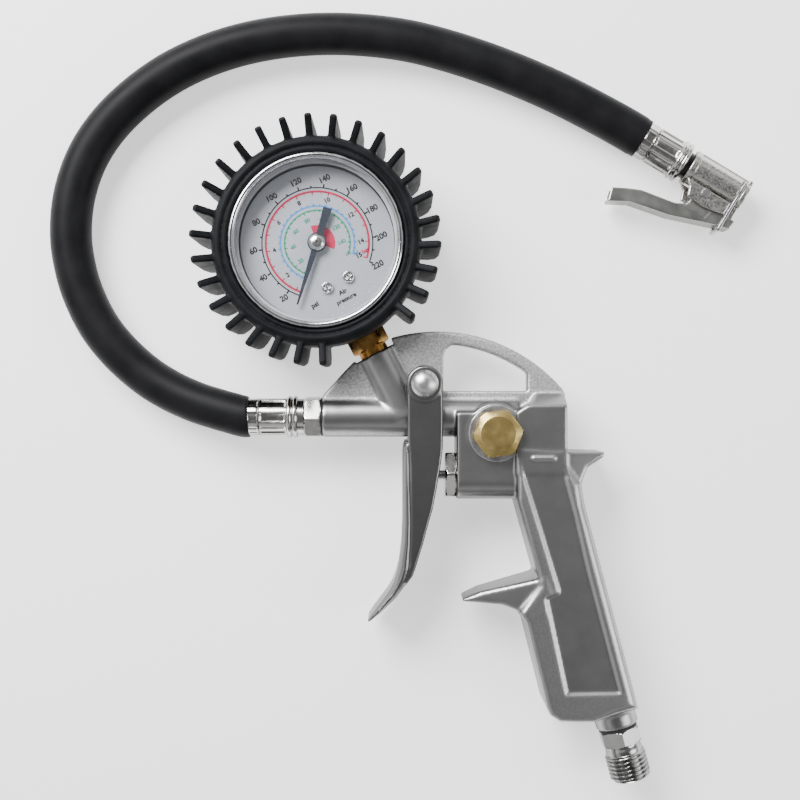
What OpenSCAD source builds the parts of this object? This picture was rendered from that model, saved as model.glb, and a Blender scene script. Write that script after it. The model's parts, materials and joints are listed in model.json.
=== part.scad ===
// Tyre inflator gun with a pressure gauge, a short hose and a clip-on tyre chuck.
// It lies on its side. Design coordinates: the barrel's axis is the X axis, the trigger's rivet stands on
// the Y axis, and z = 0 is the gun's mid-plane. placed() moves them to the part's own frame, where the
// origin is the middle of the base and +Z is up.

/* [Casting] */
// Height of the gun's mid-plane above the surface it lies on
mid_z = 11.5; // [11.5:0.5:13]
// Outer radius of the barrel
barrel_r = 6.45; // [6.2:0.05:6.6]
// Half thickness of the arch and its web
web_half = 3.2; // [2.6:0.1:4]
// Half thickness of the valve block
block_half = 9.5; // [9:0.1:10]
// Half thickness of the handle at its borders
handle_half = 11.5; // [11:0.1:11.5]
// Depth of the flat panel let into each side of the handle
panel_depth = 0.7; // [0.4:0.1:2]
// Outer radius of the gauge boss
boss_r = 6.7; // [6:0.1:7.2]

/* [Trigger] */
// Height of the rivet above the barrel's axis
pivot_y = 10.6; // [10:0.1:11]
// Radius of the rivet's shank
rivet_r = 2.5; // [2:0.1:3]
// Inner half width of the trigger's fork
fork_in = 8.3; // [8.2:0.1:8.6]
// Outer half width of the trigger's fork
fork_out = 10.1; // [9.6:0.1:10.2]

/* [Gauge] */
// Direction of the gauge's stem from straight down, in degrees
gauge_turn = 27.5; // [20:0.5:35]
// Outer radius of the bezel
bezel_r = 27; // [26:0.1:27.5]
// Outer radius of the boot without its fins
boot_r = 32.5; // [30:0.1:33]
// Outer radius over the fins' tips
fin_r = 38.5; // [36:0.1:39]
// Number of fin places round the boot, three of which are left free at the stem
fin_places = 30; // [24:2:36]
// Thickness of a fin
fin_t = 2.2; // [1.6:0.1:3]

/* [Hose] */
// Outer diameter of the hose
hose_d = 13.4; // [12:0.1:13.4]
// Outer radius of the crimped ferrules
ferrule_r = 6.1; // [5.8:0.1:6.4]

/* [Chuck] */
// Direction of the chuck below the X axis, in degrees
chuck_tilt = 31; // [25:1:35]
// Radius of the mouth that goes over the tyre valve
mouth_r = 4.15; // [4:0.05:4.3]
// Outer radius of the chuck's body
chuck_r = 5.3; // [5.2:0.1:5.6]

/* [Hidden] */
$fn = 48;

// Where the part's own origin lies in design coordinates
origin_x = 0.5;
origin_y = -12.5;

// Barrel and outlet
barrel_x0 = -32.6;
passage_r = 3;
thread_r = 4.85;
outlet_depth = 10;
fit_gap = 0.05;

// Arch: one arc from its left shoulder to the block
arch_x = 4;
arch_y = -25.8;
arch_r = 53.2;

// Valve
valve_y = -18.7;
valve_bore_r = 4.6;
block_x0 = 10.1;
nut_x0 = 6.7;
stem_r = 1.5;
stem_tip_x = -3.55;
seat_x = 20;
plug_x = 22.7;
plug_y = -5.1;

// Inlet: the end face of its boss and the direction in which the nipple leaves it
inlet_x = 62.2;
inlet_y = -99.1;
inlet_turn = -75;
inlet_thread_r = 6.58;
inlet_boss_r = 6.8;

// Gauge: its centre, and heights from the mid-plane
gauge_x = -33.6;
gauge_y = 54.4;
case_r = 25.6;
boss_face = 38.5;
case_z0 = -9.2;
case_z1 = 15;
boot_z1 = 20.2;
fin_z1 = 22.8;
bezel_z1 = 20.4;
lens_z = 16.2;
dial_z = 11.4;
dial_t = 0.6;
dial_r = 24;
needle_z = 13.6;
screw_ring_r = 14.3;
screw_spread = 15;

// Gauge movement: a sector gear drives the needle's pinion
gear_module = 0.3;
pinion_teeth = 10;
gear_ratio = 8;
pinion_r = gear_module * pinion_teeth / 2;
sector_r = pinion_r * gear_ratio;
sector_y = -(pinion_r + sector_r);
tail_r = 5;
tail_angle = -25;
tip_angle = -25;
tube_r = 17;

// Chuck: where its ferrule starts
chuck_x = 71.5;
chuck_y = 90.6;
chuck_z = -4.8;
pin_s = 26.1;
pin_t = -6;
plate_s = 35.1;
plate_t = 1;

// Hose route in design coordinates, from the gun's ferrule to the chuck's ferrule
route = [
    [-56.4, 0.1, 0], [-58.2, 0.1, 0], [-62, 1.1, -0.5], [-67, 2.5, -1.3], [-74, 4.7, -2.4], [-82, 8.2, -3.6], [-90, 13, -4.5],
    [-98, 19.8, -4.8], [-105, 28, -4.8], [-110, 37, -4.8], [-113.5, 47, -4.8], [-115.3, 59, -4.8],
    [-114.2, 72, -4.8], [-110, 84.5, -4.8], [-102.8, 95.5, -4.8], [-93, 105, -4.8], [-82, 112.6, -4.8],
    [-70, 118.2, -4.8], [-57.5, 122, -4.8], [-44.5, 124.2, -4.8], [-31.5, 125, -4.8], [-18.5, 124.5, -4.8],
    [-5.5, 122.8, -4.8], [7, 119.7, -4.8], [19.5, 115.7, -4.8], [31.7, 111, -4.8], [43.7, 105.7, -4.8],
    [55.3, 99.8, -4.8], [65.41, 94.26, -4.8], [71.41, 90.65, -4.8]
];

// ---- Helpers ----

// Moves design coordinates to the part's own frame
module placed() translate([-origin_x, -origin_y, mid_z]) children();

// Gauge frame: centre of the dial, with the stem along -Y
module gauge_at() placed() translate([gauge_x, gauge_y, 0]) rotate([0, 0, gauge_turn]) children();

// Chuck frame: X along the chuck towards its mouth
module chuck_at() placed() translate([chuck_x, chuck_y, chuck_z]) rotate([0, 0, -chuck_tilt]) children();

// Inlet frame: X out of the handle's end
module inlet_at() placed() translate([inlet_x, inlet_y, 0]) rotate([0, 0, inlet_turn]) children();

// Round bar along X
module bar_x(x0, x1, r, sides = $fn, twist = 0)
    translate([x0, 0, 0]) rotate([twist, 0, 0]) rotate([0, 90, 0]) cylinder(h = x1 - x0, r = r, $fn = sides);

// Round bar along Y
module bar_y(y0, y1, r, sides = $fn)
    translate([0, y1, 0]) rotate([90, 0, 0]) cylinder(h = y1 - y0, r = r, $fn = sides);

// Ring or disc along Z, with an optional bore
module ring_z(z0, z1, r, bore = 0) translate([0, 0, z0]) difference() {
    cylinder(h = z1 - z0, r = r);
    if (bore > 0) translate([0, 0, -1]) cylinder(h = z1 - z0 + 2, r = bore);
}

// Flat plate between two heights
module plate(z0, z1) translate([0, 0, z0]) linear_extrude(height = z1 - z0) children();

// Flat plate centred on the mid-plane
module slab(half) plate(-half, half) children();

// Corner radius of a hexagon from its width across flats
function hex_r(flats) = flats / 2 / cos(30);

// Points on an arc
function arc(cx, cy, r, a0, a1, steps) =
    [for (i = [0:steps]) let (a = a0 + (a1 - a0) * i / steps) [cx + r * cos(a), cy + r * sin(a)]];

// Tube swept along a list of points, with a round section of the given radius
function unit(v) = v / norm(v);
function tangent(p, i) = unit(p[min(i + 1, len(p) - 1)] - p[max(i - 1, 0)]);
function side_of(t) = unit(cross(t, [0, 0, 1]));
module sweep(p, r, sides) {
    count = len(p);
    points = [for (i = [0:count - 1]) let (t = tangent(p, i), u = side_of(t), w = cross(u, t))
        for (k = [0:sides - 1]) p[i] + r * (u * cos(360 * k / sides) + w * sin(360 * k / sides))];
    walls = [for (i = [0:count - 2]) for (k = [0:sides - 1]) let (n = (k + 1) % sides)
        [i * sides + k, i * sides + n, (i + 1) * sides + n, (i + 1) * sides + k]];
    first = [for (k = [sides - 1:-1:0]) k];
    last = [for (k = [0:sides - 1]) (count - 1) * sides + k];
    polyhedron(points = points, faces = concat(walls, [first, last]));
}

// Helical wire along X, from x0 to x1
module coil_x(x0, x1, r, wire, turns) {
    steps = turns * 14;
    sweep([for (i = [0:steps]) [x0 + wire + (x1 - x0 - 2 * wire) * i / steps,
        r * cos(360 * turns * i / steps), r * sin(360 * turns * i / steps)]], wire, 6);
}

// ---- Gun ----

module arch_outline() polygon(concat(
    [[44.8, -2], [44.8, 7.5]],
    arc(arch_x, arch_y, arch_r, 40.6, 106, 14),
    [[-12.2, 24.5], [-21.7, 18.6], [-25.7, 14.5], [-29.6, 10.1], [barrel_x0, 6.8], [barrel_x0, -2]]
));

module window_outline() polygon(concat(
    [[6.1, 8.3], [33, 8.3], [33, 13.5]],
    arc(arch_x, arch_y, 49.3, 54.5, 82, 6),
    [[8.7, 23.1], [6.9, 21.6], [6.1, 19.2]]
));

module handle_outline() polygon([
    [28.9, -10], [28.9, -26.1], [35.4, -49.5], [36.2, -52.6], [29.6, -61.4], [31.6, -64.5], [38.3, -91.4],
    [39.4, -93.6], [42.5, -95.6], [53.2, -95.9], [67.2, -91.8], [66.4, -88.2], [59.6, -62.4],
    [50.3, -26.9], [49.3, -20.4], [44.8, -14], [44.8, -10]
]);

module panel_outline() polygon([
    [30.2, -10], [30, -12.6], [33, -17.9], [34.9, -22], [38.6, -32.3], [42.7, -54.4], [42.4, -55.6],
    [38.7, -57.1], [44.9, -86.2], [60.6, -85.8], [50.6, -48], [46.9, -31.8], [43.7, -19.5], [43.4, -10]
]);

module spur_outline() polygon([
    [38, -50], [17.4, -55.3], [12.1, -57.6], [12.1, -58.8], [24.5, -59.4], [29.3, -61.1], [33, -65], [42, -60]
]);

module tail_outline() polygon([[44, -10.7], [56.7, -11], [56.3, -12.6], [51.2, -15.9], [49.4, -20.4], [44, -24]]);

module casting_solid() {
    difference() {
        slab(web_half) arch_outline();
        translate([0, 0, -web_half - 1]) linear_extrude(height = 2 * web_half + 2) window_outline();
    }
    bar_x(barrel_x0, 30, barrel_r);
    slab(block_half) translate([block_x0, -26.1]) square([22, 27.6]);
    slab(handle_half - panel_depth) polygon([[30, 1.5], [30, -19], [44.8, -19], [44.8, 3.8], [33, 3.8]]);
    translate([33, 0, 0]) rotate([90, 0, 90]) linear_extrude(height = 11.8)
        polygon([[3.6, -10.8], [7.6, -3.2], [7.6, 3.2], [3.6, 10.8]]);
    difference() {
        slab(handle_half) handle_outline();
        plate(handle_half - panel_depth, handle_half + 1) panel_outline();
        plate(-handle_half - 1, -handle_half + panel_depth) panel_outline();
    }
    slab(9.5) spur_outline();
    slab(9.5) tail_outline();
    translate([gauge_x, gauge_y, 0]) rotate([0, 0, gauge_turn]) bar_y(-boss_face - 22, -boss_face, boss_r);
    translate([inlet_x, inlet_y, 0]) rotate([0, 0, inlet_turn]) bar_x(-12, 0, inlet_boss_r);
}

module casting_bores() {
    bar_x(barrel_x0 - 1, 24, passage_r);
    bar_x(barrel_x0 - 1, barrel_x0 + outlet_depth, thread_r);
    translate([0, pivot_y, -20]) cylinder(h = 40, r = rivet_r + fit_gap);
    translate([0, valve_y, 0]) {
        bar_x(block_x0 - 1, 30, valve_bore_r);
        bar_x(29, 41, passage_r);
    }
    translate([16.5, valve_y, 0]) bar_y(0, -valve_y, 2);
    translate([plug_x, plug_y, -2]) cylinder(h = 20, r = 5);
    translate([plug_x, plug_y, block_half]) cylinder(h = 5, r = 9.3);
    translate([gauge_x, gauge_y, 0]) rotate([0, 0, gauge_turn]) {
        bar_y(-boss_face - 9, -boss_face + 1, thread_r);
        bar_y(-boss_face - 23, -boss_face, 1.5);
        bar_y(-boss_face, -33, 7.3);
    }
    translate([inlet_x, inlet_y, 0]) rotate([0, 0, inlet_turn]) {
        bar_x(-9, 1, thread_r);
        bar_x(-84, 0, passage_r);
    }
}

module body_casting() color("silver") placed() difference() {
    casting_solid();
    casting_bores();
}

module flank_outline() {
    circle(r = 5.6, $fn = 64);
    polygon([
        [-5.4, 0], [-5, -17], [-4.6, -26], [-4.4, -45], [-4.8, -57], [-6, -62.4], [-5, -62.7], [-3.7, -60.6],
        [-2.7, -57.4], [-0.5, -50.6], [1.7, -43], [2.6, -40.5], [3.8, -33], [5.1, -25.4], [5.7, -20.4], [5.6, 0]
    ]);
}

module front_web_outline() polygon([
    [-6.6, -18.2], [-7.1, -21], [-7.1, -43], [-7.4, -50.6], [-8.3, -57.5], [-10, -63.1], [-13.1, -68.1],
    [-16.9, -73.2], [-18.2, -75.1], [-17.6, -75.5], [-14.1, -72.6], [-9.1, -67.9], [-5.3, -62.9], [-4.1, -59],
    [-3.6, -52], [-3.4, -44], [-3.9, -30], [-4.2, -18.2]
]);

module trigger() color("darkgray") placed() translate([0, pivot_y, 0]) difference() {
    union() {
        plate(fork_in, fork_out) flank_outline();
        plate(-fork_out, -fork_in) flank_outline();
        slab(fork_out + 0.2) front_web_outline();
    }
    translate([0, 0, -20]) cylinder(h = 40, r = rivet_r + fit_gap);
}

module trigger_rivet() color("gainsboro") placed() translate([0, pivot_y, 0]) {
    ring_z(-fork_out - 0.1, fork_out + 0.1, rivet_r);
    ring_z(-fork_out - 1.3, -fork_out - 0.1, 4.3);
    translate([0, 0, fork_out + 0.1]) intersection() {
        translate([0, 0, -3.2]) sphere(r = 5.36, $fn = 64);
        cylinder(h = 3, r = 4.3);
    }
}

module packing_nut() color("lightgray") placed() translate([0, valve_y, 0]) difference() {
    union() {
        bar_x(nut_x0, block_x0, hex_r(14), 6, -5);
        bar_x(block_x0, block_x0 + 6, valve_bore_r);
    }
    bar_x(nut_x0 - 1, block_x0 + 7, stem_r + fit_gap);
    bar_x(block_x0 + 1.5, block_x0 + 3.3, 2.9);
}

module stem_oring() color("black") placed() translate([0, valve_y, 0]) difference() {
    bar_x(block_x0 + 1.6, block_x0 + 3.2, 2.85);
    bar_x(block_x0, block_x0 + 5, stem_r + 0.08);
}

module valve_stem() color("silver") placed() translate([0, valve_y, 0]) {
    bar_x(stem_tip_x, seat_x + 0.4, stem_r);
}

module valve_seat() color("goldenrod") placed() translate([0, valve_y, 0]) difference() {
    bar_x(seat_x - 2.5, seat_x, valve_bore_r);
    bar_x(seat_x - 3, seat_x + 1, 2.3);
}

module poppet_seal() color("black") placed() translate([0, valve_y, 0]) difference() {
    bar_x(seat_x + 0.05, seat_x + 1.4, 3.6);
    bar_x(seat_x - 1, seat_x + 0.4, stem_r);
}

module valve_poppet() color("goldenrod") placed() translate([0, valve_y, 0]) {
    bar_x(seat_x + 1.4, seat_x + 3, 3.8);
    bar_x(seat_x + 3, seat_x + 4.5, 1.6);
}

module valve_spring() color("gray") placed() translate([0, valve_y, 0]) coil_x(seat_x + 3, 30, 2.9, 0.35, 5);

module side_plug() color("goldenrod") placed() translate([plug_x, plug_y, 0]) {
    ring_z(block_half - 7, block_half + 0.8, 4.9);
    translate([0, 0, block_half + 0.8]) rotate([0, 0, 8]) intersection() {
        cylinder(h = 5, r = hex_r(14), $fn = 6);
        cylinder(h = 5, r1 = 12.2, r2 = 7.2);
    }
}

module side_plug_washer() color("gainsboro") placed() translate([plug_x, plug_y, 0])
    ring_z(block_half, block_half + 0.8, 8.9, 4.9);

module inlet_nipple() color("silver") inlet_at() difference() {
    union() {
        bar_x(-8, 1.1, thread_r - fit_gap);
        bar_x(1, 6, hex_r(12), 6);
        bar_x(6, 7.6, 5.8);
        bar_x(7.6, 17.7, inlet_thread_r);
    }
    bar_x(-9, 18, passage_r);
}

module inlet_gasket() color("black") inlet_at() difference() {
    bar_x(0, 1, 6.2);
    bar_x(-1, 2, thread_r);
}

// ---- Gauge ----

module gauge_stem() color("darkgoldenrod") gauge_at() difference() {
    union() {
        bar_y(-boss_face - 8.5, -37, thread_r - fit_gap);
        rotate([0, 90, 0]) bar_y(-37, -29.5, hex_r(11), 6);
        bar_y(-29.5, -20, 4.4);
        translate([-6, -23.5, -5]) cube([12, 9.5, 10]);
    }
    bar_y(-boss_face - 9, -17, 1.2);
    rotate([0, 0, 245]) rotate_extrude(angle = 20, $fn = 96) translate([tube_r - 1.4, -3.7]) square([2.8, 7.4]);
}

module gauge_case() color("dimgray") gauge_at() difference() {
    ring_z(case_z0, case_z1, case_r);
    ring_z(case_z0 + 0.8, case_z1 + 1, case_r - 0.8);
    bar_y(-30, -20, 4.5);
}

module fin() rotate([90, 0, 0]) linear_extrude(height = fin_t, center = true) polygon([
    [boot_r - 1.2, -11.2], [boot_r + 3, -11.2], [fin_r - 0.8, -8], [fin_r, 0], [fin_r, fin_z1 - 1.4],
    [fin_r - 1, fin_z1], [boot_r + 0.4, boot_z1 - 0.3], [boot_r - 1.2, boot_z1 - 1.2]
]);

module gauge_boot() color("#202224") gauge_at() {
    difference() {
        rotate_extrude($fn = 96) polygon([
            [20, -mid_z], [boot_r - 2, -mid_z], [boot_r - 0.8, -9.5], [boot_r, 6], [boot_r, 16.8],
            [boot_r - 1, 19.2], [boot_r - 2.4, boot_z1], [bezel_r + 1.1, boot_z1], [bezel_r + 0.05, 18.6],
            [bezel_r + 0.05, 12.6], [case_r, 12.6], [case_r, case_z0], [20, case_z0]
        ]);
        translate([-6.2, -36, -6.7]) cube([12.4, 14, 13.4]);
    }
    for (i = [2:fin_places - 2]) rotate([0, 0, -90 + 360 * i / fin_places]) fin();
}

module gauge_bezel() color("gainsboro") gauge_at() rotate_extrude($fn = 96) polygon([
    [case_r + 0.05, 12.7], [bezel_r, 12.7], [bezel_r, bezel_z1 - 0.6], [bezel_r - 0.6, bezel_z1],
    [25.2, bezel_z1], [24.9, bezel_z1 - 0.6], [24.9, lens_z + 1.6], [case_r + 0.05, lens_z + 1.6]
]);

module gauge_lens() color("lightblue", 0.3) gauge_at() ring_z(lens_z, lens_z + 1.5, 25.5);

module lens_gasket() color("dimgray") gauge_at() ring_z(lens_z - 1.1, lens_z - 0.05, 25.5, 24.2);

module gauge_dial() color("lightgray") gauge_at() difference() {
    ring_z(dial_z, dial_z + dial_t, dial_r, 1.6);
    for (a = [-90 - screw_spread, -90 + screw_spread])
        rotate([0, 0, a]) translate([screw_ring_r, 0, 0]) cylinder(h = 20, r = 1.1);
}

module dial_screws() color("silver") gauge_at() for (a = [-90 - screw_spread, -90 + screw_spread])
    rotate([0, 0, a]) translate([screw_ring_r, 0, 0]) {
        ring_z(dial_z + dial_t, dial_z + dial_t + 1.1, 1.9);
        ring_z(9.5, dial_z + dial_t, 1);
    }

module bourdon_tube() color("peru") gauge_at() rotate([0, 0, tip_angle])
    rotate_extrude(angle = 260 - tip_angle, $fn = 96) difference() {
        translate([tube_r - 1.3, -3.6]) square([2.6, 7.2]);
        translate([tube_r - 0.8, -3.1]) square([1.6, 6.2]);
    }

module bourdon_tip() color("peru") gauge_at() rotate([0, 0, tip_angle]) {
    translate([tube_r - 1.5, -1.6, -3.8]) cube([3, 1.6, 7.6]);
    translate([tube_r, -0.8, 3]) cylinder(h = 5.4, r = 0.6);
}

module movement_frame() color("goldenrod") gauge_at() difference() {
    union() {
        plate(5, 5.8) translate([-5.5, -21]) square([11, 26]);
        plate(9.5, 10.3) translate([-5.5, -21]) square([11, 26]);
        for (p = [[-4.4, -19.8], [4.4, -19.8], [-4.4, 3.9], [4.4, 3.9]])
            translate([p[0], p[1], 5.4]) cylinder(h = 4.5, r = 0.9);
        for (a = [-90 - screw_spread, -90 + screw_spread])
            rotate([0, 0, a]) translate([screw_ring_r, 0, 0]) ring_z(9.9, dial_z, 1.8);
    }
    translate([0, 0, 4]) cylinder(h = 8, r = 0.75);
    translate([0, sector_y, 4]) cylinder(h = 8, r = 0.75);
    for (a = [-90 - screw_spread, -90 + screw_spread])
        rotate([0, 0, a]) translate([screw_ring_r, 0, 9]) cylinder(h = 4, r = 1);
}

// Straight link from the tube's tip to the sector's tail
tip_pin = [for (v = [[tube_r, -0.8]]) [v[0] * cos(tip_angle) - v[1] * sin(tip_angle),
    v[0] * sin(tip_angle) + v[1] * cos(tip_angle)]][0];
tail_pin = [tail_r * cos(tail_angle), sector_y + tail_r * sin(tail_angle)];

module movement_link() color("goldenrod") gauge_at() difference() {
    union() {
        for (p = [tip_pin, tail_pin]) translate([p[0], p[1], 8.5]) cylinder(h = 0.6, r = 1.3);
        translate([tail_pin[0], tail_pin[1], 8.5])
            rotate([0, 0, atan2(tip_pin[1] - tail_pin[1], tip_pin[0] - tail_pin[0])])
            translate([0, -0.6, 0]) cube([norm(tip_pin - tail_pin), 1.2, 0.6]);
    }
    translate([tip_pin[0], tip_pin[1], 8]) cylinder(h = 2, r = 0.85);
    translate([tail_pin[0], tail_pin[1], 8]) cylinder(h = 2, r = 0.65);
}

// Short teeth that clear each other, on a toothed wheel of the given pitch radius
module tooth(pitch_r, wide) polygon([
    [pitch_r - 0.5, -wide * 0.7], [pitch_r, -wide / 2], [pitch_r + 0.2, -wide * 0.3],
    [pitch_r + 0.2, wide * 0.3], [pitch_r, wide / 2], [pitch_r - 0.5, wide * 0.7]
]);

module sector_gear() color("gold") gauge_at() translate([0, sector_y, 0]) {
    plate(7, 8) difference() {
        union() {
            circle(r = 2, $fn = 48);
            polygon(concat([[0, 0]], arc(0, 0, sector_r - 0.35, 50, 94, 10)));
            rotate([0, 0, tail_angle]) translate([0, -1]) square([tail_r, 2]);
            rotate([0, 0, tail_angle]) translate([tail_r, 0]) circle(r = 1.4, $fn = 48);
            for (i = [-8:0]) rotate([0, 0, 90 + i * 360 / (pinion_teeth * gear_ratio)]) tooth(sector_r, 0.3);
        }
        polygon(concat(arc(0, 0, 4, 58, 86, 4), arc(0, 0, 9.6, 88, 56, 6)));
    }
    ring_z(5.1, 10.2, 0.7);
    rotate([0, 0, tail_angle]) translate([tail_r, 0, 7.5]) cylinder(h = 1.7, r = 0.6);
}

module pinion_arbor() color("gold") gauge_at() {
    plate(6.6, 8.2) union() {
        circle(r = pinion_r - 0.4, $fn = 48);
        for (i = [0:pinion_teeth - 1])
            rotate([0, 0, -90 + (i + 0.5) * 360 / pinion_teeth]) tooth(pinion_r, 0.3);
    }
    ring_z(5.1, needle_z - 0.4, 0.7);
}

module hairspring() color("gold") gauge_at() plate(8.7, 9.2) {
    turns = 4;
    steps = 56;
    inner = [for (i = [0:steps]) let (a = 360 * turns * i / steps, r = 1 + 3.2 * i / steps)
        [r * cos(a), r * sin(a)]];
    outer = [for (i = [steps:-1:0]) let (a = 360 * turns * i / steps, r = 1.2 + 3.2 * i / steps)
        [r * cos(a), r * sin(a)]];
    polygon(concat(inner, outer));
}

// Zero lies 45 degrees clockwise of the stem
needle_turn = -90 - 45;

module gauge_needle() color("#18202c") gauge_at() rotate([0, 0, needle_turn]) plate(needle_z, needle_z + 0.4)
    difference() {
        union() {
            polygon([
                [-11.2, -1.4], [-2.5, -0.95], [2.5, -1], [20.3, -0.25], [20.3, 0.25], [2.5, 1], [-2.5, 0.95],
                [-11.2, 1.4]
            ]);
            circle(r = 3, $fn = 64);
        }
        circle(r = 0.9, $fn = 48);
    }

module needle_hub() color("gainsboro") gauge_at() {
    ring_z(needle_z - 0.4, needle_z, 2);
    ring_z(needle_z, needle_z + 0.4, 0.9);
    translate([0, 0, needle_z + 0.4]) intersection() {
        translate([0, 0, -1.6]) sphere(r = 3.1, $fn = 64);
        cylinder(h = 2, r = 2.65);
    }
}

// ---- Hose ----

module hose_fitting() color("silver") placed() difference() {
    union() {
        bar_x(barrel_x0 - 2, barrel_x0 + 9, thread_r - fit_gap);
        bar_x(-37.8, barrel_x0 - 0.5, hex_r(12), 6, 8);
        bar_x(-55, -37, 3.5);
    }
    bar_x(-56, -20, 2);
}

module outlet_gasket() color("black") placed() difference() {
    bar_x(barrel_x0 - 0.5, barrel_x0, 6.2);
    bar_x(barrel_x0 - 1, barrel_x0 + 1, thread_r);
}

module ferrule_gun() color("gainsboro") placed() difference() {
    union() {
        bar_x(-56.3, -38.4, ferrule_r);
        bar_x(-41.5, -40.5, 6.7);
        bar_x(-39.6, -38.6, 6.7);
    }
    bar_x(-57, -37, 3.55);
}

module hose() color("#1b1c1e") placed() sweep(route, hose_d / 2, 10);

module ferrule_chuck() color("gainsboro") chuck_at() difference() {
    union() {
        bar_x(0, 15.8, ferrule_r);
        bar_x(12.6, 13.6, 6.7);
        bar_x(14.4, 15.4, 6.7);
    }
    bar_x(-1, 17, 3.55);
}

module chuck_nipple() color("silver") chuck_at() difference() {
    union() {
        bar_x(1, 17.4, 3.5);
        bar_x(15.8, 17.4, 4.4);
        bar_x(17.4, 22, 3.8);
    }
    bar_x(0, 23, 1.5);
}

module lug_outline() polygon([
    [18.4, -4.6], [20.4, -6.6], [21.4, -9.6], [27, -10.2], [34.6, -9], [34.6, -4.6]
]);

module chuck_body() color("lightgray") chuck_at() difference() {
    union() {
        bar_x(17.4, 19.6, 5.6);
        bar_x(19.6, 38, chuck_r);
        slab(1.6) translate([17.4, -5.8]) square([20.6, 11.6]);
        slab(3.4) translate([36.6, -8.4]) square([1.4, 14]);
        plate(3.9, 5.4) lug_outline();
        plate(-5.4, -3.9) lug_outline();
        slab(5.3) translate([20, -5.4]) square([14.6, 1]);
    }
    bar_x(17, 23, 3.85);
    bar_x(22, 27, 2.6);
    bar_x(26, 28.4, mouth_r + 0.3);
    bar_x(28.3, 39, mouth_r);
    plate(-5.6, 5.6) translate([plate_s - 0.15, -9]) square([plate_t + 0.3, 13.4]);
    plate(-3.95, 3.95) translate([19, -11]) square([17.4, 6.5]);
    translate([pin_s, pin_t, -7]) cylinder(h = 14, r = 0.9);
}

module chuck_seal() color("black") chuck_at() difference() {
    bar_x(26, 28.4, mouth_r + 0.25);
    bar_x(25, 29, 1.7);
}

module chuck_depressor() color("goldenrod") chuck_at() {
    bar_x(23.2, 28.3, 0.9);
    bar_x(23.2, 24.2, 2.5);
}

module jaw_plate() color("silver") chuck_at() difference() {
    translate([plate_s, -14.4, -4.9]) cube([plate_t, 18.4, 9.8]);
    bar_x(plate_s - 1, plate_s + 2, mouth_r + 0.15);
    translate([plate_s - 1, -13.2, -4.1]) cube([3, 5.8, 8.2]);
}

module lever_outline() polygon([
    [-0.9, -19.5], [3.5, -17.2], [7.8, -15.3], [19.2, -13.3], [24, -11], [33.2, -8.4], [39.2, -8.6],
    [38.8, -11.6], [33.9, -12.9], [20, -17.7], [6.8, -20.5], [0.4, -24]
]);

module lever_inside() polygon([
    [-2, -18.5], [3.5, -16.2], [7.8, -14], [19.2, -12], [24, -9], [33.2, -7], [41, -7], [41, -10.8],
    [33.9, -12.1], [20, -16.9], [6.8, -19.7], [-2, -23.9]
]);

module chuck_lever() color("silver") chuck_at() difference() {
    union() {
        difference() {
            slab(3.85) lever_outline();
            slab(3.05) lever_inside();
        }
        for (z = [-3.85, 3.05]) plate(z, z + 0.8)
            polygon([[22.4, -13], [24.4, -5.6], [26.1, -4.7], [27.8, -5.6], [30.6, -10], [30, -13]]);
    }
    translate([pin_s, pin_t, -7]) cylinder(h = 14, r = 0.95);
}

module lever_pin() color("gainsboro") chuck_at() translate([pin_s, pin_t, 0]) {
    ring_z(-5.4, 5.4, 0.9);
    ring_z(5.4, 5.9, 1.5);
}

module lever_spring() color("gray") chuck_at() translate([pin_s, pin_t, 0]) rotate([0, -90, 0])
    coil_x(-2.8, 2.8, 1.25, 0.2, 4);

body_casting();
trigger();
trigger_rivet();
packing_nut();
valve_stem();
stem_oring();
valve_seat();
valve_poppet();
poppet_seal();
valve_spring();
side_plug();
side_plug_washer();
inlet_nipple();
inlet_gasket();
gauge_stem();
gauge_case();
gauge_boot();
gauge_bezel();
gauge_lens();
lens_gasket();
gauge_dial();
dial_screws();
bourdon_tube();
bourdon_tip();
movement_frame();
movement_link();
sector_gear();
pinion_arbor();
hairspring();
gauge_needle();
needle_hub();
hose_fitting();
outlet_gasket();
ferrule_gun();
hose();
ferrule_chuck();
chuck_nipple();
chuck_body();
chuck_seal();
chuck_depressor();
jaw_plate();
chuck_lever();
lever_pin();
lever_spring();
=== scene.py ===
"""Looks of a tyre inflator gun with a gauge, a short hose and a clip-on chuck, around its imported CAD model.

Sizes are millimetres in design coordinates: the barrel's axis is the X axis, the trigger's rivet stands on
the Y axis and z = 0 is the gun's mid-plane. to_row() moves them to the CAD model's own frame, in metres.
"""
import json
import math

import bmesh
import bpy
import numpy as np
from mathutils import Matrix, Vector


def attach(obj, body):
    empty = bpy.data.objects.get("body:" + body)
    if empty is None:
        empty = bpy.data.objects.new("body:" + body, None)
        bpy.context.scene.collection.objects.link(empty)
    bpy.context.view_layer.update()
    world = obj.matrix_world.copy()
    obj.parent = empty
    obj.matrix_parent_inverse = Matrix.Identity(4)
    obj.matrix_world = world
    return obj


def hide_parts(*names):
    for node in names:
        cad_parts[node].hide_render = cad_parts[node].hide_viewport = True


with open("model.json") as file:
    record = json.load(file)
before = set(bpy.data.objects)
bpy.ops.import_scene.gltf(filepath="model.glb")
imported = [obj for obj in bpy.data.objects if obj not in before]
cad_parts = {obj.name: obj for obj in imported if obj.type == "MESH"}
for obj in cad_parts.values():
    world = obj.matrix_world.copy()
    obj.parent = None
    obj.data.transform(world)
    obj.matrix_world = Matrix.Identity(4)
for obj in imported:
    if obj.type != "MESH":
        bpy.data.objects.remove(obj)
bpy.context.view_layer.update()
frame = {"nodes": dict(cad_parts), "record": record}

MM = 0.001
JOINTS = {joint["name"]: joint for joint in frame["record"]["behaviour"]["joints"]}
COARSE = 1.0
SMOOTH_ANGLE = 35
WELD = 1e-7

# ---- Driving dimensions ----

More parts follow.
